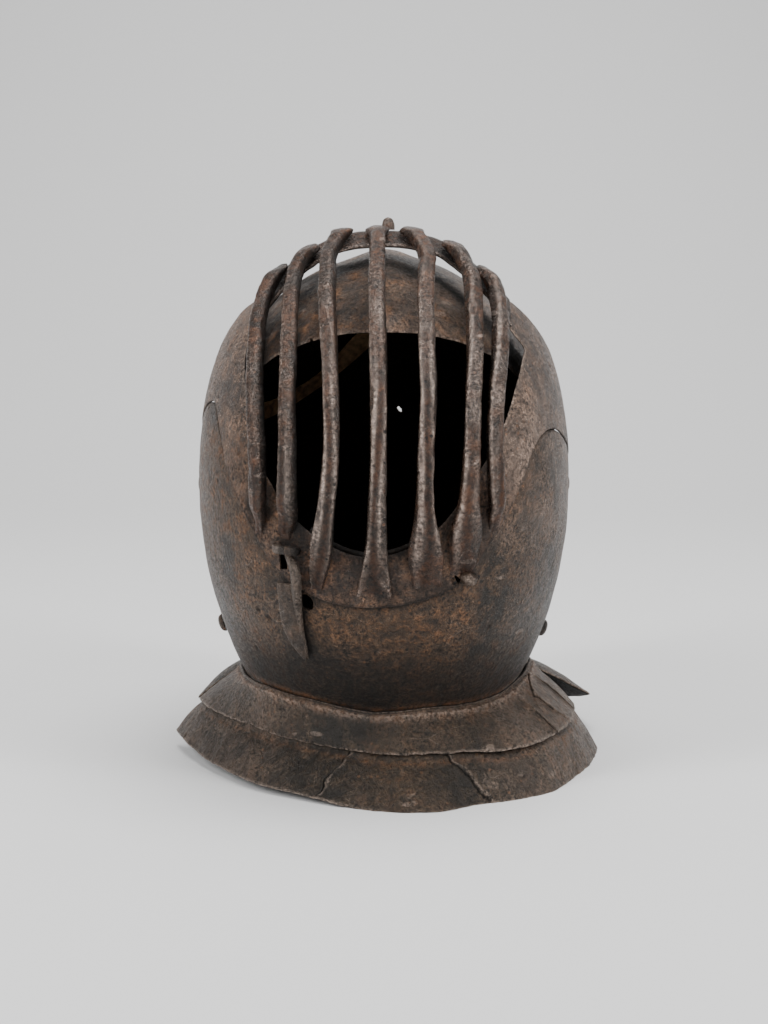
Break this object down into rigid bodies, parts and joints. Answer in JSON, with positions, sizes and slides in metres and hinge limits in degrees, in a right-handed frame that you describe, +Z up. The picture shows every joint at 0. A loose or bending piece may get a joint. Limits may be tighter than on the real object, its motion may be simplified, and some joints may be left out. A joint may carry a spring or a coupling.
{
  "type": "close helmet with a barred visor",
  "caption": "Iron close helmet with a visor of forged bars, turning bevor, side hook and flared neck plates, worn on the head and standing on its neck rims.",
  "frame": {"origin": "middle of the bottom of the bounding box, on the surface that the helmet stands on, straight under the axis of the temple pivots", "axes": "the front, with the bars, faces -Y; +X is the viewer's right from the front; +Z is up to the crown"},
  "size_m": [0.2611, 0.3146, 0.3208],
  "materials": {
    "dark_iron": "dark rusted forged iron",
    "worn_iron": "worn forged iron, brighter on the ridges",
    "rusted_iron": "rusted",
    "old_leather": "old and dry"
  },
  "bodies": {
    "skull": {"skull": "dark_iron", "rear_gorget": "dark_iron", "pivot_left": "worn_iron", "pivot_right": "worn_iron", "lining_strap": "old_leather"},
    "bevor": {"bevor": "dark_iron", "gorget_upper_lame": "dark_iron", "gorget_lower_lame": "dark_iron", "neck_rivet_left": "worn_iron", "neck_rivet_right": "worn_iron"},
    "visor": {"visor": "dark_iron", "crown_band": "worn_iron", "bar_1": "worn_iron", "bar_2": "worn_iron", "bar_3": "worn_iron", "bar_4": "worn_iron", "bar_5": "worn_iron", "bar_6": "worn_iron", "bar_7": "worn_iron", "staple": "worn_iron", "staple_stump": "rusted_iron", "crest_lug": "worn_iron"},
    "hook": {"hook_strap": "worn_iron"}
  },
  "joints": [
    {"name": "bevor_turn", "type": "hinge", "parent": "skull", "child": "bevor", "pos_m": [0, 0, 0.1625], "axis": [-1, 0, 0], "range_deg": [0, 40]},
    {"name": "visor_turn", "type": "hinge", "parent": "bevor", "child": "visor", "pos_m": [0, 0, 0.1625], "axis": [-1, 0, 0], "range_deg": [0, 60]},
    {"name": "hook_turn", "type": "hinge", "parent": "bevor", "child": "hook", "pos_m": [-0.0456, -0.11815, 0.0845], "axis": [-0.4377, -0.7994, -0.4116], "range_deg": [0, 70]}
  ]
}
